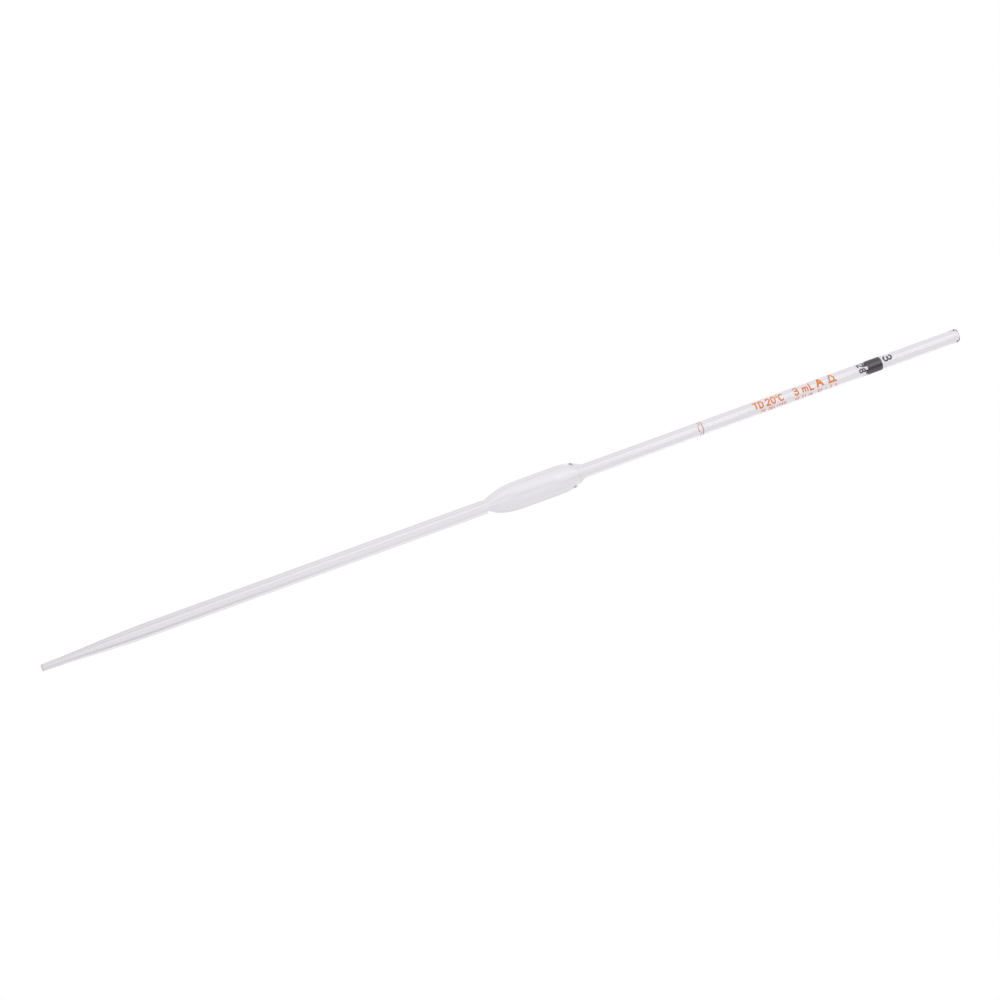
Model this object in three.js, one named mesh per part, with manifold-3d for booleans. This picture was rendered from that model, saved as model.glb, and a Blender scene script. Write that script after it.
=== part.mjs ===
// A 3 mL volumetric (one-mark transfer) pipette of clear borosilicate glass, lying on its bulb.
//
// Lampworked glass tubes are sealed end to end: a delivery tube that is drawn down to a ground jet, a bulb
// with a long shoulder below and a short one above, and a suction tube with a fire-polished mouth.
// Every mark is a separate skin of enamel fired on the suction tube: the graduation ring, the colour-code
// band, and each letter and figure.
//
// Millimetres, +Z up. The pipette's axis runs along X, from the jet at -X to the mouth at +X. The origin is
// on the resting surface, under the middle of the length.
//
// All shapes are made in the pipette's own upright frame, where local Y is the distance from the jet and the
// angle round the tube runs from local +Z towards local +X. One group at the end lays that frame down.

import * as THREE from "three";
import { mergeVertices } from "three/addons/utils/BufferGeometryUtils.js";
import Module from "manifold-3d";

const wasm = await Module();
wasm.setup();

// ---- Driving dimensions -----------------------------------------------------------------------------

const LENGTH = 374; // ground jet to fire-polished mouth
const STEM_RADIUS = 2.525; // delivery and suction tube, outside
const BORE_RADIUS = 1.35; // delivery and suction tube, inside
const BULB_RADIUS = 5.15; // barrel of the bulb, outside
const BULB_WALL = 0.7;
const JET_RADIUS = 1.2; // ground end of the jet, outside
const JET_BORE_RADIUS = 0.33;

// Distances from the jet, along the axis.
const JET_TOP = 44; // the drawn taper is a plain tube from here on
const LOWER_SEAL = 172; // delivery tube meets the bulb's lower shoulder
const BARREL_START = 187;
const BARREL_END = 198.6;
const UPPER_SEAL = 214; // bulb's upper shoulder meets the suction tube
const RING_STATION = 261.8; // graduation ring: 3 mL from here to the jet

const ENAMEL_GAP = 0.02; // clearance that keeps each enamel skin a body of its own
const ENAMEL_THICKNESS = 0.05;
const RING_WIDTH = 0.4;
const BAND_START = 333.1;
const BAND_WIDTH = 6.4;
const BAND_GAP = 2.2; // the printed band stops short of meeting itself behind the tube
const BAND_GAP_ANGLE = 225; // degrees round the tube

const SIDES = 36; // flat facets round every tube; one faces straight down
const HALF_STEP = Math.PI / SIDES;
const FACET_SCALE = 1 / Math.cos(HALF_STEP); // facets touch the true circle from outside
const CURVE_STEPS = 9; // straight pieces along each shoulder's curve

// ---- Materials --------------------------------------------------------------------------------------

const glass = new THREE.MeshStandardMaterial({
  color: 0xe9e8ee,
  roughness: 0.05,
  metalness: 0,
  transparent: true,
  opacity: 0.4,
});
const amberEnamel = new THREE.MeshStandardMaterial({ color: 0xb8763a, roughness: 0.45, metalness: 0 });
const orangeEnamel = new THREE.MeshStandardMaterial({ color: 0xe06a22, roughness: 0.4, metalness: 0 });
const blackEnamel = new THREE.MeshStandardMaterial({ color: 0x2e2a30, roughness: 0.35, metalness: 0 });

// ---- Helpers ----------------------------------------------------------------------------------------

const point = (radius, station) => new THREE.Vector2(radius, station);

// A named sub-part.
function part(name, geometry, material) {
  const mesh = new THREE.Mesh(geometry, material);
  mesh.name = name;
  return mesh;
}

// A ring-shaped solid from its outer outline, listed from the jet upwards, and its inner outline, the same.
function tube(outer, inner) {
  const outline = [...outer, ...inner.slice().reverse(), outer[0]];
  const profile = outline.map((p) => point(p.x * FACET_SCALE, p.y));
  return new THREE.LatheGeometry(profile, SIDES, HALF_STEP);
}

// Points of a smooth curve that leaves start towards startPull and reaches end from endPull.
function curve(start, startPull, endPull, end) {
  return new THREE.CubicBezierCurve(start, startPull, endPull, end).getPoints(CURVE_STEPS);
}

// A geometry as a solid that can be joined and cut.
function solidOf(geometry) {
  const bare = geometry.clone();
  bare.deleteAttribute("normal");
  bare.deleteAttribute("uv");
  const merged = mergeVertices(bare, 1e-4);
  return new wasm.Manifold(
    new wasm.Mesh({
      numProp: 3,
      vertProperties: new Float32Array(merged.attributes.position.array),
      triVerts: new Uint32Array(merged.index.array),
    }),
  );
}

function geometryOf(solid) {
  const mesh = solid.getMesh();
  return new THREE.BufferGeometry()
    .setAttribute("position", new THREE.BufferAttribute(mesh.vertProperties, 3))
    .setIndex(new THREE.BufferAttribute(mesh.triVerts, 1));
}

// ---- Glass ------------------------------------------------------------------------------------------

// The delivery tube's end, softened in the flame and drawn to a cone, then ground flat with a fine bevel.
function jetTip() {
  const bevel = 0.15;
  const outer = [
    point(JET_RADIUS - bevel, 0),
    point(JET_RADIUS, bevel),
    point(1.34, 6),
    point(2.34, 31),
    point(2.47, 37),
    point(STEM_RADIUS, JET_TOP),
  ];
  const inner = [point(JET_BORE_RADIUS, 0), point(0.38, 6), point(1.18, 31), point(BORE_RADIUS, JET_TOP)];
  return part("jet_tip", tube(outer, inner), glass);
}

function deliveryTube() {
  const wall = (radius) => [point(radius, JET_TOP), point(radius, LOWER_SEAL)];
  return part("delivery_tube", tube(wall(STEM_RADIUS), wall(BORE_RADIUS)), glass);
}

// The long shoulder: it springs from the seal, runs as a cone and rounds over into the barrel.
function lowerShoulder() {
  const outer = [
    point(STEM_RADIUS, LOWER_SEAL),
    ...curve(
      point(STEM_RADIUS + 0.02, LOWER_SEAL + 0.9),
      point(4.17, LOWER_SEAL + 6),
      point(5.11, BARREL_START - 7.1),
      point(BULB_RADIUS, BARREL_START),
    ),
  ];
  const inner = [
    point(BORE_RADIUS, LOWER_SEAL),
    ...curve(
      point(BORE_RADIUS + 0.02, LOWER_SEAL + 1.3),
      point(2.9, LOWER_SEAL + 6.2),
      point(4.3, BARREL_START - 6.9),
      point(BULB_RADIUS - BULB_WALL, BARREL_START),
    ),
  ];
  return part("lower_shoulder", tube(outer, inner), glass);
}

function bulbBarrel() {
  const wall = (radius) => [point(radius, BARREL_START), point(radius, BARREL_END)];
  return part("bulb_barrel", tube(wall(BULB_RADIUS), wall(BULB_RADIUS - BULB_WALL)), glass);
}

// The short shoulder: a rounded end that turns in to a small flare where the suction tube is sealed on.
function upperShoulder() {
  const outer = [
    ...curve(
      point(BULB_RADIUS, BARREL_END),
      point(BULB_RADIUS, UPPER_SEAL - 5.5),
      point(4.58, UPPER_SEAL - 5.9),
      point(2.65, UPPER_SEAL - 1.7),
    ),
    point(STEM_RADIUS + 0.03, UPPER_SEAL - 1.1),
    point(STEM_RADIUS, UPPER_SEAL - 0.5),
    point(STEM_RADIUS, UPPER_SEAL),
  ];
  const inner = [
    ...curve(
      point(BULB_RADIUS - BULB_WALL, BARREL_END),
      point(BULB_RADIUS - BULB_WALL, UPPER_SEAL - 6),
      point(3.7, UPPER_SEAL - 6.5),
      point(1.7, UPPER_SEAL - 2.8),
    ),
    point(BORE_RADIUS + 0.06, UPPER_SEAL - 2),
    point(BORE_RADIUS, UPPER_SEAL - 1.2),
    point(BORE_RADIUS, UPPER_SEAL),
  ];
  return part("upper_shoulder", tube(outer, inner), glass);
}

// The suction tube. Its mouth is melted round, which draws the bore in a little.
function suctionTube() {
  const lip = 0.55;
  const outer = [
    point(STEM_RADIUS, UPPER_SEAL),
    point(STEM_RADIUS, LENGTH - lip),
    point(STEM_RADIUS - 0.1, LENGTH - 0.2),
    point(STEM_RADIUS - 0.32, LENGTH),
  ];
  const inner = [
    point(BORE_RADIUS, UPPER_SEAL),
    point(BORE_RADIUS, LENGTH - 1.5),
    point(BORE_RADIUS - 0.12, LENGTH - lip),
    point(BORE_RADIUS + 0.05, LENGTH - 0.1),
    point(BORE_RADIUS + 0.25, LENGTH),
  ];
  return part("suction_tube", tube(outer, inner), glass);
}

// ---- Enamel rings -----------------------------------------------------------------------------------

// A thin enamel sleeve round the stem between two distances from the jet.
function enamelSleeve(from, to) {
  const inside = STEM_RADIUS + ENAMEL_GAP;
  const outside = inside + ENAMEL_THICKNESS;
  return tube([point(outside, from), point(outside, to)], [point(inside, from), point(inside, to)]);
}

function graduationRing() {
  const from = RING_STATION - RING_WIDTH / 2;
  return part("graduation_ring", enamelSleeve(from, from + RING_WIDTH), amberEnamel);
}

function colourCodeBand() {
  const sleeve = solidOf(enamelSleeve(BAND_START, BAND_START + BAND_WIDTH));
  const angle = THREE.MathUtils.degToRad(BAND_GAP_ANGLE);
  const slot = new THREE.BoxGeometry(BAND_GAP, BAND_WIDTH + 2, 2 * STEM_RADIUS)
    .translate(0, BAND_START + BAND_WIDTH / 2, STEM_RADIUS)
    .rotateY(angle);
  return part("colour_code_band", geometryOf(sleeve.subtract(solidOf(slot))), blackEnamel);
}

// ---- Enamel letters and figures ---------------------------------------------------------------------
// A letter is drawn flat with strokes of even width. Its own frame is in units of the letter's height, with
// u to the right and v up from the foot. The flat letter is then bent round the tube and cut to a thin skin.

const GLYPH_DEPTH = 2; // flat letter's thickness, more than enough to reach through the skin once bent

// Points along an ellipse, angles in degrees anticlockwise from the right.
function arc(u, v, radiusU, radiusV, from, to, steps) {
  return Array.from({ length: steps + 1 }, (_, i) => {
    const angle = THREE.MathUtils.degToRad(from + ((to - from) * i) / steps);
    return point(u + radiusU * Math.cos(angle), v + radiusV * Math.sin(angle));
  });
}

const line = (...coordinates) => coordinates.map(([u, v]) => point(u, v));

// The offset of a path to one side, mitred at its corners. side is half the stroke's width, with a sign.
function offsetPath(path, side, closed) {
  const last = path.length - 1;
  const at = (i) => path[closed ? (i + path.length) % path.length : THREE.MathUtils.clamp(i, 0, last)];
  return path.map((corner, i) => {
    const before = corner.clone().sub(at(i - 1)).normalize();
    const after = at(i + 1).clone().sub(corner).normalize();
    const along = before.clone().add(after).normalize();
    const cosine = before.lengthSq() && after.lengthSq() ? Math.max(along.dot(after), 0.5) : 1;
    return point(corner.x - (along.y * side) / cosine, corner.y + (along.x * side) / cosine);
  });
}

// One stroke as a flat solid. A closed stroke is a loop with an open middle.
function strokeSolid({ path, closed = false }, height, width) {
  const sized = path.map((p) => p.clone().multiplyScalar(height));
  const left = offsetPath(sized, width / 2, closed);
  const right = offsetPath(sized, -width / 2, closed);
  const shape = new THREE.Shape(closed ? right : [...left, ...right.reverse()]);
  if (closed) shape.holes.push(new THREE.Path(left));
  const flat = new THREE.ExtrudeGeometry(shape, { depth: GLYPH_DEPTH, bevelEnabled: false });
  return solidOf(flat.translate(0, 0, -GLYPH_DEPTH / 2));
}

// Each figure's strokes. Loops run anticlockwise.
const GLYPHS = {
  T: [{ path: line([0, 1], [0.66, 1]) }, { path: line([0.33, 1], [0.33, 0]) }],
  D: [{ path: [...line([0, 0]), ...arc(0.18, 0.5, 0.42, 0.5, -90, 90, 8), ...line([0, 1])], closed: true }],
  C: [{ path: arc(0.36, 0.5, 0.36, 0.5, 48, 312, 10) }],
  L: [{ path: line([0, 1], [0, 0], [0.5, 0]) }],
  A: [{ path: line([0, 0], [0.37, 1], [0.74, 0]) }, { path: line([0.12, 0.32], [0.62, 0.32]) }],
  m: [
    { path: line([0, 0], [0, 0.64]) },
    { path: [...line([0, 0.3]), ...arc(0.22, 0.42, 0.2, 0.2, 170, 0, 5), ...line([0.42, 0])] },
    { path: [...line([0.42, 0.3]), ...arc(0.64, 0.42, 0.2, 0.2, 170, 0, 5), ...line([0.84, 0])] },
  ],
  0: [{ path: arc(0.29, 0.5, 0.29, 0.5, 0, 330, 11), closed: true }],
  2: [{ path: [...arc(0.29, 0.72, 0.27, 0.28, 165, -35, 7), ...line([0, 0], [0.58, 0])] }],
  3: [
    { path: [...arc(0.27, 0.75, 0.26, 0.25, 155, -90, 8), ...line([0.14, 0.5])] },
    { path: [...line([0.14, 0.53]), ...arc(0.28, 0.265, 0.29, 0.265, 90, -155, 8)] },
  ],
  8: [
    { path: arc(0.3, 0.76, 0.24, 0.24, 0, 324, 9), closed: true },
    { path: arc(0.3, 0.27, 0.3, 0.27, 0, 324, 9), closed: true },
  ],
  degree: [{ path: arc(0.15, 0.84, 0.14, 0.15, 0, 315, 7), closed: true }],
  drop: [
    { path: [...line([0.4, 1]), ...arc(0.4, 0.34, 0.3, 0.3, 150, 390, 9)], closed: true },
    { path: line([-0.08, 0.04], [0.88, 0.04]) },
  ],
};

// A flat figure bent round the stem. Along the tube the figure reads towards the mouth; across the tube it
// reads round it, with its top towards the mouth. angle and station place the middle of its foot's left end.
function bend(solid, { station, angle, across }) {
  const mesh = solid.getMesh();
  const start = THREE.MathUtils.degToRad(angle);
  const bent = new Float32Array(mesh.vertProperties);
  for (let i = 0; i < bent.length; i += 3) {
    const [u, v, lift] = bent.subarray(i, i + 3);
    const turn = start + (across ? u : -v) / STEM_RADIUS;
    const radius = STEM_RADIUS + lift;
    bent.set([radius * Math.sin(turn), station + (across ? v : u), radius * Math.cos(turn)], i);
  }
  return new wasm.Manifold(
    new wasm.Mesh({ numProp: 3, vertProperties: bent, triVerts: new Uint32Array(mesh.triVerts) }),
  );
}

function enamelFigure(name, figure, { height, width, material, ...place }) {
  const strokes = GLYPHS[figure].map((stroke) => strokeSolid(stroke, height, width));
  const flat = strokes.reduce((joined, stroke) => joined.add(stroke));
  const skin = solidOf(enamelSleeve(place.station - 2 * height, place.station + 2 * height));
  return part(name, geometryOf(bend(flat, place).intersect(skin)), material);
}

// The orange line of text is read along the tube. The angle is that of the letters' feet.
const ORANGE = { material: orangeEnamel, across: false };
const LEGEND = { ...ORANGE, height: 2.6, width: 0.46, angle: 58 };
const CAPACITY = { ...ORANGE, height: 2.9, width: 0.46, angle: 58 };
const GRADE = { ...ORANGE, height: 3.0, width: 0.68, angle: 56 };
const SIGN = { ...ORANGE, height: 3.3, width: 0.46, angle: 57 };

// The black figures are read round the tube. The station is that of the figures' feet.
const BATCH = { material: blackEnamel, across: true, height: 2.45, width: 0.42, station: 329.4 };
const SIZE_CODE = { material: blackEnamel, across: true, height: 3.4, width: 0.55, station: 340.5 };

function enamelFigures() {
  return [
    enamelFigure("legend_T", "T", { ...LEGEND, station: 283.9 }),
    enamelFigure("legend_D", "D", { ...LEGEND, station: 286.2 }),
    enamelFigure("legend_2", "2", { ...LEGEND, station: 289.3 }),
    enamelFigure("legend_0", "0", { ...LEGEND, station: 291.4 }),
    enamelFigure("legend_degree", "degree", { ...LEGEND, station: 293.5, width: 0.28 }),
    enamelFigure("legend_C", "C", { ...LEGEND, station: 294.7 }),
    enamelFigure("capacity_3", "3", { ...CAPACITY, station: 301.2 }),
    enamelFigure("capacity_m", "m", { ...CAPACITY, station: 304.7 }),
    enamelFigure("capacity_L", "L", { ...CAPACITY, station: 308 }),
    enamelFigure("class_A", "A", { ...GRADE, station: 311.2 }),
    enamelFigure("drop_sign", "drop", { ...SIGN, station: 316.2 }),
    enamelFigure("batch_2", "2", { ...BATCH, angle: -12 }),
    enamelFigure("batch_8", "8", { ...BATCH, angle: 37 }),
    enamelFigure("size_code_3", "3", { ...SIZE_CODE, angle: -1 }),
  ];
}

// ---- Assembly ---------------------------------------------------------------------------------------

const pipette = new THREE.Group();
pipette.add(jetTip(), deliveryTube(), lowerShoulder(), bulbBarrel(), upperShoulder(), suctionTube());
pipette.add(graduationRing(), colourCodeBand(), ...enamelFigures());
pipette.rotation.z = -Math.PI / 2;
pipette.position.set(-LENGTH / 2, 0, BULB_RADIUS);

const assembly = new THREE.Group();
assembly.add(pipette);

export default assembly;
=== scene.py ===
"""Looks of a 3 mL volumetric pipette of clear fused glass, with fired enamel marks, lying on a pale floor.

The glass is six sections that share one outline, so that it reads as one fused body. Each enamel mark is a
thin crowned skin bent round the suction tube. Sizes are in millimetres unless a name says otherwise.
"""
import math

import bpy
import numpy as np
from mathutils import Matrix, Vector


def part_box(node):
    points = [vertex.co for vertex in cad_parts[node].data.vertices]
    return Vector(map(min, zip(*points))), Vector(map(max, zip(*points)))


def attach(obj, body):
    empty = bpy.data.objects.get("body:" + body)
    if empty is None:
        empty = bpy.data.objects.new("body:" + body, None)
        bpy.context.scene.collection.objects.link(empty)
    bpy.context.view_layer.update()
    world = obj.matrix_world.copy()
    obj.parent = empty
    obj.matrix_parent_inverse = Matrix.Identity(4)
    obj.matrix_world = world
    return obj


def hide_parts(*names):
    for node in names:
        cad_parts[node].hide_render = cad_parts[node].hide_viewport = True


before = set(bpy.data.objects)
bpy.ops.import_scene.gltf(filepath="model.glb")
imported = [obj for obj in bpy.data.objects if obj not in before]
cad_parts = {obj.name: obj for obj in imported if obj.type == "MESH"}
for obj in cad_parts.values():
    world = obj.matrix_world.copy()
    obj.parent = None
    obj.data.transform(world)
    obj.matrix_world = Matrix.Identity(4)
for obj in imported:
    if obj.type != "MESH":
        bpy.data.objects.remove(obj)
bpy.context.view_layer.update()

MM = 0.001

# ---- Places and sizes read from the frame -----------------------------------------------------------


def station_of(x_metres):
    """Distance from the jet, in millimetres, of a place along the X axis in metres."""
    return (x_metres - JET_X) / MM


def radius_of(node):
    low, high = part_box(node)
    return (high.y - low.y) / 2 / MM


JET_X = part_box("jet_tip")[0].x
AXIS_Z = (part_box("bulb_barrel")[0].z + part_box("bulb_barrel")[1].z) / 2
LENGTH = station_of(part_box("suction_tube")[1].x)
JET_TOP = station_of(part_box("jet_tip")[1].x)
LOWER_SEAL = station_of(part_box("delivery_tube")[1].x)
BARREL_START = station_of(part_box("bulb_barrel")[0].x)
BARREL_END = station_of(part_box("bulb_barrel")[1].x)
UPPER_SEAL = station_of(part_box("upper_shoulder")[1].x)
STEM_RADIUS = radius_of("suction_tube")
BULB_RADIUS = radius_of("bulb_barrel")
BORE_RADIUS = 1.35
BULB_WALL = 0.7

# ---- Materials --------------------------------------------------------------------------------------


class Nodes:
    """A material's node tree, with short ways to add and join nodes."""

    def __init__(self, name):
        self.material = bpy.data.materials.new(name)
        self.material.use_nodes = True
        self.tree = self.material.node_tree
        self.tree.nodes.clear()
        self.output = self.add("ShaderNodeOutputMaterial")

    def add(self, kind, **values):
        node = self.tree.nodes.new(kind)
        for name, value in values.items():
            if hasattr(node, name):
                setattr(node, name, value)
            else:
                node.inputs[name.replace("_", " ")].default_value = value
        return node

    def join(self, source, target):
        self.tree.links.new(source, target)

    def noise(self, scale, stretch=(1, 1, 1), detail=3.0, roughness=0.5):
        """Noise over the piece's own place, scale in grains per metre, times a stretch along each axis."""
        place = self.add("ShaderNodeTexCoord")
        mapping = self.add("ShaderNodeMapping")
        mapping.inputs["Scale"].default_value = stretch
        noise = self.add("ShaderNodeTexNoise", Scale=scale, Detail=detail, Roughness=roughness)
        self.join(place.outputs["Object"], mapping.inputs["Vector"])
        self.join(mapping.outputs["Vector"], noise.inputs["Vector"])
        return noise.outputs["Fac"]

    def ramp(self, factor, *stops):
        """Colours over a factor from 0 to 1; each stop is (place, (r, g, b))."""
        node = self.add("ShaderNodeValToRGB")
        elements = node.color_ramp.elements
        while len(elements) < len(stops):
            elements.new(0.5)
        for element, (place, colour) in zip(elements, stops):
            element.position = place
            element.color = (*colour, 1)
        self.join(factor, node.inputs["Fac"])
        return node.outputs["Color"]

    def spread(self, factor, low, high):
        """A factor around one half, stretched to run from low to high."""
        node = self.add("ShaderNodeMapRange")
        node.inputs["From Min"].default_value = 0.3
        node.inputs["From Max"].default_value = 0.7
        node.inputs["To Min"].default_value = low
        node.inputs["To Max"].default_value = high
        self.join(factor, node.inputs["Value"])
        return node.outputs["Result"]

    def bump(self, height, distance, strength=1.0):
        node = self.add("ShaderNodeBump", Strength=strength, Distance=distance)
        self.join(height, node.inputs["Height"])
        return node.outputs["Normal"]


def glass_material():
    """Clear borosilicate glass: faint lilac, drawn lines along the tube, and a trace of handling haze."""
    m = Nodes("pipette_glass")
    glass = m.add("ShaderNodeBsdfPrincipled")
    glass.inputs["Transmission Weight"].default_value = 1.0
    glass.inputs["IOR"].default_value = 1.473
    tint = m.noise(60, (1, 6, 6))
    colour = m.ramp(tint, (0.3, (0.99, 0.988, 0.992)), (0.7, (0.996, 0.995, 0.997)))
    m.join(colour, glass.inputs["Base Color"])
    m.join(m.spread(m.noise(220, (1, 3, 3)), 0.0, 0.01), glass.inputs["Roughness"])
    m.join(m.bump(m.noise(900, (0.03, 1, 1)), 1.0e-6, 0.5), glass.inputs["Normal"])
    clear = m.add("ShaderNodeBsdfTransparent", Color=(0.97, 0.97, 0.975, 1))
    path = m.add("ShaderNodeLightPath")
    shadow = m.add("ShaderNodeMixShader")
    m.join(path.outputs["Is Shadow Ray"], shadow.inputs[0])
    m.join(glass.outputs[0], shadow.inputs[1])
    m.join(clear.outputs[0], shadow.inputs[2])
    diffuse = m.add("ShaderNodeMixShader")
    m.join(path.outputs["Is Diffuse Ray"], diffuse.inputs[0])
    m.join(shadow.outputs[0], diffuse.inputs[1])
    m.join(clear.outputs[0], diffuse.inputs[2])
    m.join(diffuse.outputs[0], m.output.inputs["Surface"])
    return m.material


def fused_material():
    """The plane where two glass sections are fused: nothing bends or reflects light there."""
    m = Nodes("fused_joint")
    clear = m.add("ShaderNodeBsdfTransparent", Color=(1, 1, 1, 1))
    m.join(clear.outputs[0], m.output.inputs["Surface"])
    return m.material


def enamel_material(name, deep, fresh, roughness, ior=1.55, grain=0.6e-6):
    """Fired enamel: a mottled print colour, a satin skin and a fine orange-peel surface."""
    m = Nodes(name)
    enamel = m.add("ShaderNodeBsdfPrincipled")
    enamel.inputs["IOR"].default_value = ior
    mottle = m.noise(5000, detail=4.0, roughness=0.6)
    m.join(m.ramp(mottle, (0.35, deep), (0.65, fresh)), enamel.inputs["Base Color"])
    m.join(m.spread(m.noise(9000), roughness - 0.08, roughness + 0.1), enamel.inputs["Roughness"])
    m.join(m.bump(m.noise(22000, detail=2.0), grain), enamel.inputs["Normal"])
    m.join(enamel.outputs[0], m.output.inputs["Surface"])
    return m.material


GLASS = glass_material()
FUSED = fused_material()
ORANGE = enamel_material("fired_orange_enamel", (0.82, 0.2, 0.006), (0.9, 0.26, 0.012), 0.45, ior=1.48)
AMBER = enamel_material("fired_amber_enamel", (0.42, 0.17, 0.06), (0.54, 0.25, 0.1), 0.4)
BLACK = enamel_material("fired_black_enamel", (0.014, 0.006, 0.018), (0.024, 0.012, 0.03), 0.22, ior=1.8)

# ---- Glass ------------------------------------------------------------------------------------------

SIDES = 128
TURN = np.linspace(0, 2 * math.pi, SIDES, endpoint=False)


def curve(start, start_pull, end_pull, end, steps=40):
    """Points of a cubic curve, each (station, radius)."""
    t = np.linspace(0, 1, steps + 1)[:, None]
    a, b, c, d = (np.array(p, float) for p in (start, start_pull, end_pull, end))
    return list(map(tuple, (1 - t) ** 3 * a + 3 * t * (1 - t) ** 2 * b + 3 * t * t * (1 - t) * c + t**3 * d))


def straight(start, end, radius, step=2.0):
    stations = np.linspace(start, end, max(int(round((end - start) / step)), 1) + 1)
    return [(s, radius) for s in stations]


def joined(*runs):
    """One outline from runs of points that may share their ends."""
    points = []
    for run in runs:
        points += [p for p in run if not points or math.dist(p, points[-1]) > 1e-6]
    return points


def on_tube(station, angle, radius):
    """Point in metres: angle runs round the tube from straight up towards -Y."""
    return (
        JET_X + station * MM,
        -radius * MM * math.sin(angle),
        AXIS_Z + radius * MM * math.cos(angle),
    )


def glass_section(node, outer, inner, fused_start=True, fused_end=True):
    """A closed ring of glass between its outer and inner outlines, in place of one CAD node."""
    outline = outer + inner[::-1]
    rings = len(outline)
    vertices = [on_tube(s, a, r) for s, r in outline for a in TURN]
    faces, materials = [], []
    for ring in range(rings):
        following = (ring + 1) % rings
        fused = (ring == len(outer) - 1 and fused_end) or (ring == rings - 1 and fused_start)
        for side in range(SIDES):
            beside = (side + 1) % SIDES
            faces.append(
                (
                    ring * SIDES + side,
                    ring * SIDES + beside,
                    following * SIDES + beside,
                    following * SIDES + side,
                )
            )
            materials.append(int(fused))
    mesh = bpy.data.meshes.new(node + "_glass")
    mesh.from_pydata(vertices, [], faces)
    mesh.materials.append(GLASS)
    mesh.materials.append(FUSED)
    mesh.polygons.foreach_set("material_index", materials)
    mesh.shade_smooth()
    sharpen_fused_rims(mesh, materials)
    mesh.validate()
    piece = bpy.data.objects.new(node + "_glass", mesh)
    bpy.context.scene.collection.objects.link(piece)
    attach(piece, "root")
    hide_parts(node)
    return piece


def sharpen_fused_rims(mesh, materials):
    """Keeps the fused end planes from bending the shading of the walls beside them."""
    kinds = {}
    for polygon, material in zip(mesh.polygons, materials):
        for key in polygon.edge_keys:
            kinds.setdefault(key, set()).add(material)
    sharp = mesh.attributes.new("sharp_edge", "BOOLEAN", "EDGE")
    for edge in mesh.edges:
        sharp.data[edge.index].value = len(kinds[tuple(sorted(edge.vertices))]) > 1


def jet_tip():
    outer = joined(
        [(0, 1.08), (0.05, 1.14), (0.15, 1.185)],
        curve((0.4, 1.2), (12, 1.38), (22, 2.14), (33, 2.39), 24),
        curve((33, 2.39), (36, 2.458), (39, 2.52), (JET_TOP, STEM_RADIUS), 10),
    )
    inner = joined(
        [(0, 0.34), (0.08, 0.33)],
        curve((0.6, 0.33), (13, 0.42), (24, 1.33), (JET_TOP, BORE_RADIUS), 30),
    )
    glass_section("jet_tip", outer, inner, fused_start=False)


def delivery_tube():
    glass_section(
        "delivery_tube",
        straight(JET_TOP, LOWER_SEAL, STEM_RADIUS),
        straight(JET_TOP, LOWER_SEAL, BORE_RADIUS),
    )


def lower_shoulder():
    start, end = LOWER_SEAL, BARREL_START
    outer = joined(
        straight(start, start + 0.3, STEM_RADIUS, 0.3),
        curve(
            (start + 0.5, STEM_RADIUS), (start + 0.9, STEM_RADIUS), (start + 1.1, 2.6), (start + 1.4, 2.7),
            8,
        ),
        curve((start + 1.4, 2.7), (start + 6.0, 4.25), (start + 7.9, 5.12), (end, BULB_RADIUS)),
    )
    wide = BULB_RADIUS - BULB_WALL
    inner = joined(
        straight(start, start + 0.6, BORE_RADIUS, 0.3),
        curve(
            (start + 0.8, BORE_RADIUS), (start + 1.3, BORE_RADIUS), (start + 1.6, 1.42), (start + 2, 1.55),
            8,
        ),
        curve((start + 2, 1.55), (start + 6.2, 2.95), (start + 8.2, wide - 0.06), (end, wide)),
    )
    glass_section("lower_shoulder", outer, inner)


def bulb_barrel():
    glass_section(
        "bulb_barrel",
        straight(BARREL_START, BARREL_END, BULB_RADIUS),
        straight(BARREL_START, BARREL_END, BULB_RADIUS - BULB_WALL),
    )


def upper_shoulder():
    start, end = BARREL_END, UPPER_SEAL
    wide = BULB_RADIUS - BULB_WALL
    outer = joined(
        curve((start, BULB_RADIUS), (end - 5.5, BULB_RADIUS), (end - 5.9, 4.58), (end - 1.95, 2.75)),
        curve((end - 1.95, 2.75), (end - 1.7, 2.635), (end - 1.4, STEM_RADIUS), (end - 0.6, STEM_RADIUS), 14),
        [(end, STEM_RADIUS)],
    )
    inner = joined(
        curve((start, wide), (end - 6, wide), (end - 6.5, 3.7), (end - 3.0, 1.8)),
        curve((end - 3.0, 1.8), (end - 2.6, 1.585), (end - 2.3, BORE_RADIUS), (end - 1.2, BORE_RADIUS), 14),
        [(end, BORE_RADIUS)],
    )
    glass_section("upper_shoulder", outer, inner)


def suction_tube():
    """The mouth is fire-polished: its rim is melted round and bulges a little into the bore."""
    lip = 0.62
    outer = joined(
        straight(UPPER_SEAL, LENGTH - lip, STEM_RADIUS),
        curve(
            (LENGTH - lip, STEM_RADIUS),
            (LENGTH - 0.22, STEM_RADIUS),
            (LENGTH, 2.3),
            (LENGTH, 1.95),
            14,
        ),
    )
    inner = joined(
        straight(UPPER_SEAL, LENGTH - 2, BORE_RADIUS),
        curve(
            (LENGTH - 2, BORE_RADIUS), (LENGTH - 1.3, BORE_RADIUS), (LENGTH - 1.1, 1.24), (LENGTH - 0.7, 1.24),
            10,
        ),
        curve((LENGTH - 0.7, 1.24), (LENGTH - 0.2, 1.24), (LENGTH, 1.5), (LENGTH, 1.9), 14),
    )
    glass_section("suction_tube", outer, inner, fused_end=False)


# ---- Enamel -----------------------------------------------------------------------------------------
# A mark is drawn flat as a distance field, negative inside, and its outline is followed through a fine grid.


def arc(u, v, radius_u, radius_v, start, end, steps=20):
    angles = np.radians(np.linspace(start, end, steps + 1))
    return [(u + radius_u * math.cos(a), v + radius_v * math.sin(a)) for a in angles]


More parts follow.
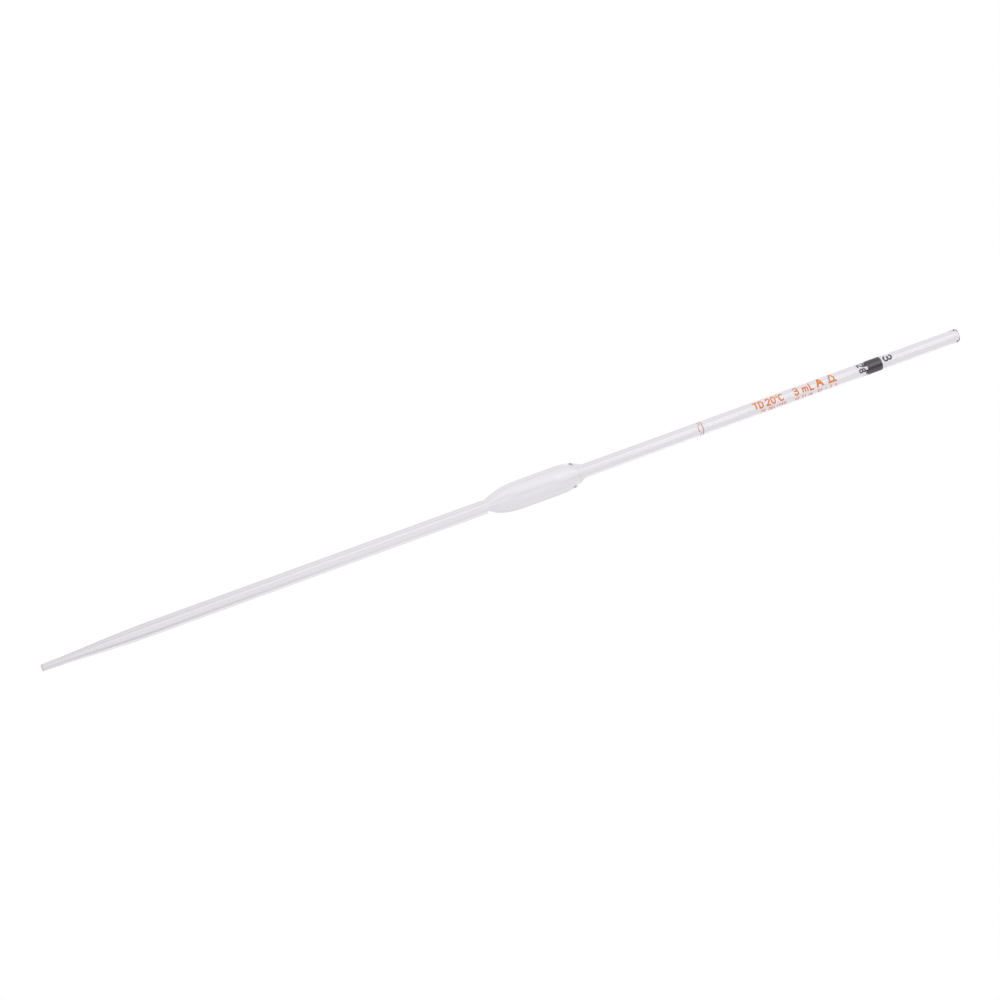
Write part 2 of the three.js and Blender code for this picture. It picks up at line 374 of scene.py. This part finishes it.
# Strokes of each figure, in units of the figure's height.
GLYPHS = {
    "T": [[(0, 1), (0.66, 1)], [(0.33, 1), (0.33, 0)]],
    "D": [[(0, 0), *arc(0.18, 0.5, 0.42, 0.5, -90, 90), (0, 1), (0, 0)]],
    "C": [arc(0.36, 0.5, 0.36, 0.5, 48, 312)],
    "L": [[(0, 1), (0, 0), (0.5, 0)]],
    "A": [[(0, 0), (0.37, 1), (0.74, 0)], [(0.12, 0.32), (0.62, 0.32)]],
    "m": [
        [(0, 0), (0, 0.64)],
        [(0, 0.3), *arc(0.22, 0.42, 0.2, 0.2, 170, 0), (0.42, 0)],
        [(0.42, 0.3), *arc(0.64, 0.42, 0.2, 0.2, 170, 0), (0.84, 0)],
    ],
    "0": [arc(0.29, 0.5, 0.29, 0.5, 0, 360, 40)],
    "2": [[*arc(0.29, 0.72, 0.27, 0.28, 165, -35), (0, 0), (0.58, 0)]],
    "3": [
        [*arc(0.27, 0.75, 0.26, 0.25, 155, -90), (0.14, 0.5)],
        [(0.14, 0.53), *arc(0.28, 0.265, 0.29, 0.265, 90, -155)],
    ],
    "8": [arc(0.3, 0.76, 0.24, 0.24, 0, 360, 30), arc(0.3, 0.27, 0.3, 0.27, 0, 360, 30)],
    "degree": [arc(0.15, 0.84, 0.14, 0.15, 0, 360, 24)],
    "drop": [[(0.4, 1), *arc(0.4, 0.34, 0.3, 0.3, 150, 390, 30), (0.4, 1)], [(-0.08, 0.04), (0.88, 0.04)]],
    "O": [arc(0.37, 0.5, 0.37, 0.5, 0, 360, 30)],
    "E": [[(0.5, 0), (0, 0), (0, 1), (0.5, 1)], [(0, 0.52), (0.42, 0.52)]],
    "I": [[(0, 0), (0, 1)]],
    "V": [[(0, 1), (0.33, 0), (0.66, 1)]],
    "R": [[(0, 0), (0, 1), *arc(0.3, 0.75, 0.25, 0.25, 90, -90), (0, 0.5)], [(0.28, 0.5), (0.56, 0)]],
    "X": [[(0, 0), (0.6, 1)], [(0, 1), (0.6, 0)]],
    "S": [[*arc(0.28, 0.75, 0.26, 0.25, 40, 270), *arc(0.28, 0.25, 0.28, 0.25, 90, -140)]],
    "5": [[(0.5, 1), (0.06, 1), (0.03, 0.55), *arc(0.26, 0.3, 0.29, 0.3, 110, -140)]],
    "1": [[(0, 0.78), (0.22, 1), (0.22, 0)]],
    "plus": [[(0, 0.45), (0.5, 0.45)], [(0.25, 0.2), (0.25, 0.7)]],
    "plusminus": [[(0, 0.6), (0.5, 0.6)], [(0.25, 0.35), (0.25, 0.85)], [(0, 0.08), (0.5, 0.08)]],
    "point": [[(0.05, 0.04), (0.09, 0.04)]],
}


def stroke_distance(strokes, u, v):
    """Distance from each grid point to the nearest stroke's centre line."""
    nearest = np.full(u.shape, np.inf)
    for stroke in strokes:
        for (u0, v0), (u1, v1) in zip(stroke[:-1], stroke[1:]):
            du, dv = u1 - u0, v1 - v0
            along = ((u - u0) * du + (v - v0) * dv) / max(du * du + dv * dv, 1e-12)
            along = np.clip(along, 0, 1)
            nearest = np.minimum(nearest, np.hypot(u - u0 - along * du, v - v0 - along * dv))
    return nearest


def ragged(u, v, size):
    """A faint unevenness of a printed edge."""
    return size * (np.sin(9 * u + 5 * v) + np.sin(-7 * u + 12 * v + 1) + np.sin(17 * u - 11 * v + 2)) / 3


def figure_field(strokes, width):
    return lambda u, v: stroke_distance(strokes, u, v) - width / 2 + ragged(u, v, 0.012)


def trace_field(field, span_u, span_v, step):
    """Flat polygons that fill a field's inside: points (u, v, depth), faces, and the outline's edges."""
    margin = 2 * step
    us = np.arange(span_u[0] - margin, span_u[1] + margin, step)
    vs = np.arange(span_v[0] - margin, span_v[1] + margin, step)
    u, v = np.meshgrid(us, vs, indexing="ij")
    distance = field(u, v)
    inside = distance < 0
    points, index, faces, rim = [], {}, [], []

    def point_at(key, place):
        if key not in index:
            index[key] = len(points)
            points.append(place)
        return index[key]

    def grid_point(i, j):
        return point_at((i, j), (us[i], vs[j], -distance[i, j]))

    def crossing(a, b):
        share = np.clip(distance[a] / (distance[a] - distance[b]), 0.12, 0.88)
        place = (
            us[a[0]] + share * (us[b[0]] - us[a[0]]),
            vs[a[1]] + share * (vs[b[1]] - vs[a[1]]),
            0.0,
        )
        return point_at((min(a, b), max(a, b)), place)

    for i, j in zip(*np.nonzero(inside[:-1, :-1] | inside[1:, :-1] | inside[1:, 1:] | inside[:-1, 1:])):
        corners = [(i, j), (i + 1, j), (i + 1, j + 1), (i, j + 1)]
        face, crosses = [], []
        for a, b in zip(corners, corners[1:] + corners[:1]):
            if inside[a]:
                face.append(grid_point(*a))
                crosses.append(False)
            if inside[a] != inside[b]:
                first, second = (a, b) if a < b else (b, a)
                face.append(crossing(first, second))
                crosses.append(True)
        faces.append(face)
        for k in range(len(face)):
            following = (k + 1) % len(face)
            if crosses[k] and crosses[following]:
                rim.append((face[k], face[following]))
    return points, faces, rim


ENAMEL_LIFT = 0.045
ENAMEL_SINK = 0.012
ENAMEL_EDGE = 0.09


def enamel_mesh(name, patches, material):
    """A closed mesh of skins on the stem. Each patch is (flat outline, to_tube), where to_tube turns (u, v)
    into (station, angle)."""
    vertices, faces = [], []
    for (points, flat_faces, rim), to_tube in patches:
        base, count = len(vertices), len(points)
        for u, v, depth in points:
            crown = min(depth / ENAMEL_EDGE, 1.0)
            lift = ENAMEL_LIFT * (0.35 + 0.65 * math.sin(crown * math.pi / 2))
            vertices.append(on_tube(*to_tube(u, v), STEM_RADIUS + lift))
        for u, v, _ in points:
            vertices.append(on_tube(*to_tube(u, v), STEM_RADIUS - ENAMEL_SINK))
        faces += [tuple(base + k for k in face) for face in flat_faces]
        faces += [tuple(base + count + k for k in reversed(face)) for face in flat_faces]
        faces += [(base + b, base + a, base + count + a, base + count + b) for a, b in rim]
    mesh = bpy.data.meshes.new(name)
    mesh.from_pydata(vertices, [], faces)
    mesh.materials.append(material)
    mesh.shade_smooth()
    mesh.validate()
    piece = bpy.data.objects.new(name, mesh)
    bpy.context.scene.collection.objects.link(piece)
    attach(piece, "root")
    return piece


def tube_ranges(node):
    """Station range and angle range of a CAD mark, in millimetres and radians."""
    points = np.array([v.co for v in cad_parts[node].data.vertices])
    stations = station_of(points[:, 0])
    angles = np.arctan2(-points[:, 1], points[:, 2] - AXIS_Z)
    return (stations.min(), stations.max()), (angles.min(), angles.max())


def extent(strokes):
    points = np.array([p for stroke in strokes for p in stroke])
    return points.min(0), points.max(0)


def enamel_figure(node, figure, width, material, across=False, step=0.045):
    """A figure fitted to the place and height of its CAD node. across: it is read round the tube."""
    stations, angles = tube_ranges(node)
    low, high = extent(GLYPHS[figure])
    along = stations[1] - stations[0]
    around = (angles[1] - angles[0]) * STEM_RADIUS
    height = ((along if across else around) - width) / (high[1] - low[1])
    strokes = [[(u * height, v * height) for u, v in stroke] for stroke in GLYPHS[figure]]
    low, high = extent(strokes)
    middle_u, middle_v = (low + high) / 2
    station, angle = sum(stations) / 2, sum(angles) / 2
    half = width / 2
    outline = trace_field(
        figure_field(strokes, width),
        (low[0] - half, high[0] + half),
        (low[1] - half, high[1] + half),
        step,
    )

    def to_tube(u, v):
        u, v = u - middle_u, v - middle_v
        if across:
            return station + v, angle + u / STEM_RADIUS
        return station + u, angle - v / STEM_RADIUS

    piece = enamel_mesh(node + "_enamel", [(outline, to_tube)], material)
    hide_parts(node)
    return piece


def micro_line(name, figures, start, angle_degrees, pitch, height=1.1, width=0.24):
    """A line of very small generic lettering under the main line. None leaves a space."""
    angle = math.radians(angle_degrees)
    patches = []
    for place, figure in enumerate(figures):
        if figure is None:
            continue
        strokes = [[(u * height, v * height) for u, v in stroke] for stroke in GLYPHS[figure]]
        low, high = extent(strokes)
        middle = (low[0] + high[0]) / 2
        outline = trace_field(
            figure_field(strokes, width),
            (low[0] - width, high[0] + width),
            (low[1] - width, high[1] + width),
            0.035,
        )
        station = start + (place + 0.5) * pitch
        patches.append((outline, micro_place(station - middle, angle)))
    enamel_mesh(name, patches, ORANGE)


def micro_place(station, angle):
    return lambda u, v: (station + u, angle - v / STEM_RADIUS)


def colour_code_band():
    """A rolled print that stops short of meeting itself behind the tube."""
    points = np.array([v.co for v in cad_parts["colour_code_band"].data.vertices])
    stations, _ = tube_ranges("colour_code_band")
    angles = np.sort(np.arctan2(-points[:, 1], points[:, 2] - AXIS_Z) % (2 * math.pi))
    widest = int(np.argmax(np.diff(angles)))
    begin, finish = angles[widest + 1], angles[widest] + 2 * math.pi
    half_u = (stations[1] - stations[0]) / 2
    half_v = (finish - begin) * STEM_RADIUS / 2
    middle_station, middle_angle = sum(stations) / 2, (begin + finish) / 2

    def field(u, v):
        outside_u, outside_v = np.abs(u) - half_u + 0.05, np.abs(v) - half_v + 0.05
        corner = np.hypot(np.maximum(outside_u, 0), np.maximum(outside_v, 0))
        return corner + np.minimum(np.maximum(outside_u, outside_v), 0) - 0.03 + ragged(u, v, 0.015)

    outline = trace_field(field, (-half_u, half_u), (-half_v, half_v), 0.1)
    piece = enamel_mesh(
        "colour_code_band_enamel",
        [(outline, lambda u, v: (middle_station + u, middle_angle - v / STEM_RADIUS))],
        BLACK,
    )
    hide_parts("colour_code_band")


def graduation_ring():
    """An unbroken fine line right round the tube, crowned across its width."""
    stations, _ = tube_ranges("graduation_ring")
    middle, half = sum(stations) / 2, (stations[1] - stations[0]) / 2 * 0.75
    profile = [
        (middle + half * math.cos(a), STEM_RADIUS + ENAMEL_LIFT * 0.8 * math.sin(a))
        for a in np.linspace(math.pi, 0, 9)
    ]
    profile += [(middle + half, STEM_RADIUS - ENAMEL_SINK), (middle - half, STEM_RADIUS - ENAMEL_SINK)]
    rings = len(profile)
    vertices = [on_tube(s + 0.012 * math.sin(3 * a), a, r) for s, r in profile for a in TURN]
    faces = [
        (
            ring * SIDES + side,
            ring * SIDES + (side + 1) % SIDES,
            (ring + 1) % rings * SIDES + (side + 1) % SIDES,
            (ring + 1) % rings * SIDES + side,
        )
        for ring in range(rings)
        for side in range(SIDES)
    ]
    mesh = bpy.data.meshes.new("graduation_ring_enamel")
    mesh.from_pydata(vertices, [], faces)
    mesh.materials.append(AMBER)
    mesh.shade_smooth()
    piece = bpy.data.objects.new("graduation_ring_enamel", mesh)
    bpy.context.scene.collection.objects.link(piece)
    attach(piece, "root")
    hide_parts("graduation_ring")


# Widths of the strokes, in millimetres.
LINE_STROKE = 0.54
DEGREE_STROKE = 0.28
GRADE_STROKE = 0.74
SIGN_STROKE = 0.56
BATCH_STROKE = 0.5
SIZE_STROKE = 0.68


def enamel_marks():
    graduation_ring()
    colour_code_band()
    for node, figure in (
        ("legend_T", "T"),
        ("legend_D", "D"),
        ("legend_2", "2"),
        ("legend_0", "0"),
        ("legend_C", "C"),
    ):
        enamel_figure(node, figure, LINE_STROKE, ORANGE)
    enamel_figure("legend_degree", "degree", DEGREE_STROKE, ORANGE)
    for node, figure in (("capacity_3", "3"), ("capacity_m", "m"), ("capacity_L", "L")):
        enamel_figure(node, figure, LINE_STROKE, ORANGE)
    enamel_figure("class_A", "A", GRADE_STROKE, ORANGE)
    enamel_figure("drop_sign", "drop", SIGN_STROKE, ORANGE)
    enamel_figure("batch_2", "2", BATCH_STROKE, BLACK, across=True)
    enamel_figure("batch_8", "8", BATCH_STROKE, BLACK, across=True)
    enamel_figure("size_code_3", "3", SIZE_STROKE, BLACK, across=True)
    micro_line("micro_delivery", ["T", "O", None, "D", "E", "L", "I", "V", "E", "R"], 286.1, 104, 1.12)
    micro_line("micro_tolerance", ["plusminus", "0", "point", "0", "1", None, "m", "L"], 300.9, 104, 1.02)
    micro_line("micro_delay", ["E", "X", None, "plus", None, "5", None, "S"], 310.8, 104, 1.08)


# ---- Studio -----------------------------------------------------------------------------------------

FLOOR_SIDE_M = 12
CAMERA_AZIMUTH = math.radians(-29.167)
CAMERA_ELEVATION = math.radians(40.652)
CAMERA_DISTANCE_M = 1.45
CAMERA_LENS = 146.52
AIM_STATION = 178.33  # the point that the camera looks at: its distance from the jet
AIM_RISE = 0.66  # and how far it is above the axis
FLOOR_DROP_M = 0.00002  # keeps the floor from touching the bulb
LIGHT_BOUNCES = 128  # light runs a long way inside the glass wall before it gets out
CLEAR_BOUNCES = 32

# The rows of brightness below started from a fit to the tones seen in the glass, and several of their values
# were then changed.
LAMP_COLOUR = (0.985, 0.955, 1.0)

# Painted light and shade on the paper that the glass sees: its glow by distance in millimetres from under the
# axis, first the camera's side, then behind. The dips near the axis are a painted shadow of the pipette,
# deepest towards the jet.
# It changes from the bulb's row to the jet's between PAPER_TURN_X_M and the jet.
PAPER_TURN_X_M = -0.05
PAPER_PLACES = (-25, -10, -4, 0, 4, 10, 25)
PAINTED_PAPER_SHADE_BULB = (0.95, 1.1, 0.75, 0.73, 0.78, 0.85, 0.78)
PAINTED_PAPER_SHADE_JET = (0.6, 0.95, 0.5, 0.64, 0.77, 0.79, 0.5)

# Brightness of the tent, by degrees round the pipette's axis: 0 is level and behind, 90 is overhead and 180
# is level on the camera's side. Each row is one part of the tent along the pipette, and gives way to the next
# while the X part of the direction goes through the range named for it.
TENT_DEGREES = (7, 22, 37, 52, 67, 82, 97, 112, 127, 142, 157, 172)
TENT_JET = (0.88, 0.68, 0.88, 0.99, 1.0, 1.03, 1.03, 1.0, 0.85, 0.3, 0.1, 0.08)
TENT_MIDDLE = (1.0, 0.46, 0.9, 1.05, 1.0, 1.1, 1.2, 1.1, 0.85, 0.45, 1.05, 1.0)
TENT_MOUTH = (0.95, 0.6, 0.9, 1.0, 1.0, 1.1, 1.9, 2.2, 1.85, 1.35, 0.4, 0.3)
JET_TO_MIDDLE = (0.05, 0.25)
MIDDLE_TO_MOUTH = (0.375, 0.41)


def tone_ramp(tree, factor, places, tones):
    """A ramp of brightness over a factor from 0 to 1, in the colour of the lamps."""
    node = tree.nodes.new("ShaderNodeValToRGB")
    elements = node.color_ramp.elements
    while len(elements) < len(places):
        elements.new(0.5)
    for element, place, tone in zip(elements, places, tones):
        element.position = place
        element.color = (*(tone * c for c in LAMP_COLOUR), 1)
    tree.links.new(factor, node.inputs["Fac"])
    return node.outputs["Color"]


def rising(tree, value, low, high):
    """0 below low, 1 above high, and straight between."""
    node = tree.nodes.new("ShaderNodeMapRange")
    node.inputs["From Min"].default_value = low
    node.inputs["From Max"].default_value = high
    tree.links.new(value, node.inputs["Value"])
    return node.outputs["Result"]


def arithmetic(tree, operation, first, second):
    node = tree.nodes.new("ShaderNodeMath")
    node.operation = operation
    tree.links.new(first, node.inputs[0])
    tree.links.new(second, node.inputs[1])
    return node.outputs[0]


def blended(tree, factor, first, second):
    """The first colour where the factor is 0, and the second where it is 1. Sockets 6 and 7 are the colours."""
    node = tree.nodes.new("ShaderNodeMix")
    node.data_type = "RGBA"
    tree.links.new(factor, node.inputs[0])
    tree.links.new(first, node.inputs[6])
    tree.links.new(second, node.inputs[7])
    return node.outputs[2]


def floor():
    """White paper on a light table, lit only by its own glow. Seen straight on it is an even white glow with no
    shadow. The glass sees
    the glow with painted shade on it: a painted shadow, a little darker under the pipette."""
    m = Nodes("pale_floor")
    place = m.add("ShaderNodeTexCoord")
    across = m.add("ShaderNodeSeparateXYZ")
    m.join(place.outputs["Object"], across.inputs[0])
    nearest, furthest = PAPER_PLACES[0], PAPER_PLACES[-1]
    places = [(y - nearest) / (furthest - nearest) for y in PAPER_PLACES]
    depth = rising(m.tree, across.outputs["Y"], nearest * MM, furthest * MM)
    # Painted light and shade of the glowing paper, with a painted shadow under the pipette.
    tones = blended(
        m.tree,
        rising(m.tree, across.outputs["X"], PAPER_TURN_X_M, JET_X),
        tone_ramp(m.tree, depth, places, PAINTED_PAPER_SHADE_BULB),
        tone_ramp(m.tree, depth, places, PAINTED_PAPER_SHADE_JET),
    )
    paper = m.add("ShaderNodeEmission", Strength=1.0)
    m.join(tones, paper.inputs["Color"])
    glow = m.add("ShaderNodeEmission", Color=(1, 1, 1, 1), Strength=1.0)
    path = m.add("ShaderNodeLightPath")
    seen = m.add("ShaderNodeMixShader")
    m.join(path.outputs["Is Camera Ray"], seen.inputs[0])
    m.join(paper.outputs[0], seen.inputs[1])
    m.join(glow.outputs[0], seen.inputs[2])
    m.join(seen.outputs[0], m.output.inputs["Surface"])
    half = FLOOR_SIDE_M / 2
    mesh = bpy.data.meshes.new("floor")
    corners = [(-half, -half, 0), (half, -half, 0), (half, half, 0), (-half, half, 0)]
    mesh.from_pydata(corners, [], [(0, 1, 2, 3)])
    mesh.materials.append(m.material)
    plane = bpy.data.objects.new("floor", mesh)
    plane.location.z = -FLOOR_DROP_M
    bpy.context.scene.collection.objects.link(plane)


def studio_world():
    """A white tent round the table."""
    world = bpy.data.worlds.new("studio")
    world.use_nodes = True
    tree = world.node_tree
    tree.nodes.clear()
    output = tree.nodes.new("ShaderNodeOutputWorld")
    direction = tree.nodes.new("ShaderNodeTexCoord").outputs["Generated"]
    parts = tree.nodes.new("ShaderNodeSeparateXYZ")
    tree.links.new(direction, parts.inputs[0])
    x, y, z = parts.outputs
    turn = rising(tree, arithmetic(tree, "ARCTAN2", z, y), 0, math.pi)
    places = [degrees / 180 for degrees in TENT_DEGREES]
    rows = (TENT_JET, TENT_MIDDLE, TENT_MOUTH)
    jet, middle, mouth = (tone_ramp(tree, turn, places, tones) for tones in rows)
    tent = blended(tree, rising(tree, x, *JET_TO_MIDDLE), jet, middle)
    tent = blended(tree, rising(tree, x, *MIDDLE_TO_MOUTH), tent, mouth)
    room = tree.nodes.new("ShaderNodeBackground")
    tree.links.new(tent, room.inputs["Color"])
    backdrop = tree.nodes.new("ShaderNodeBackground")
    backdrop.inputs["Color"].default_value = (1, 1, 1, 1)
    path = tree.nodes.new("ShaderNodeLightPath")
    seen = tree.nodes.new("ShaderNodeMixShader")
    tree.links.new(path.outputs["Is Camera Ray"], seen.inputs[0])
    tree.links.new(room.outputs[0], seen.inputs[1])
    tree.links.new(backdrop.outputs[0], seen.inputs[2])
    tree.links.new(seen.outputs[0], output.inputs["Surface"])
    bpy.context.scene.world = world


def camera():
    aim = Vector((JET_X + AIM_STATION * MM, 0, AXIS_Z + AIM_RISE * MM))
    a, e = CAMERA_AZIMUTH, CAMERA_ELEVATION
    back = Vector((math.sin(a) * math.cos(e), -math.cos(a) * math.cos(e), math.sin(e)))
    data = bpy.data.cameras.new("camera")
    data.lens = CAMERA_LENS
    data.clip_start = 0.01
    data.clip_end = 50
    viewer = bpy.data.objects.new("camera", data)
    viewer.location = aim + back * CAMERA_DISTANCE_M
    viewer.rotation_mode = "QUATERNION"
    viewer.rotation_quaternion = (-back).to_track_quat("-Z", "Y")
    bpy.context.scene.collection.objects.link(viewer)
    bpy.context.scene.camera = viewer


def studio():
    floor()
    studio_world()
    camera()
    scene = bpy.context.scene
    scene.view_settings.view_transform = "Standard"
    scene.cycles.max_bounces = LIGHT_BOUNCES
    scene.cycles.transmission_bounces = LIGHT_BOUNCES
    scene.cycles.glossy_bounces = LIGHT_BOUNCES
    scene.cycles.transparent_max_bounces = CLEAR_BOUNCES


# ---- Build ------------------------------------------------------------------------------------------

jet_tip()
delivery_tube()
lower_shoulder()
bulb_barrel()
upper_shoulder()
suction_tube()
enamel_marks()
studio()
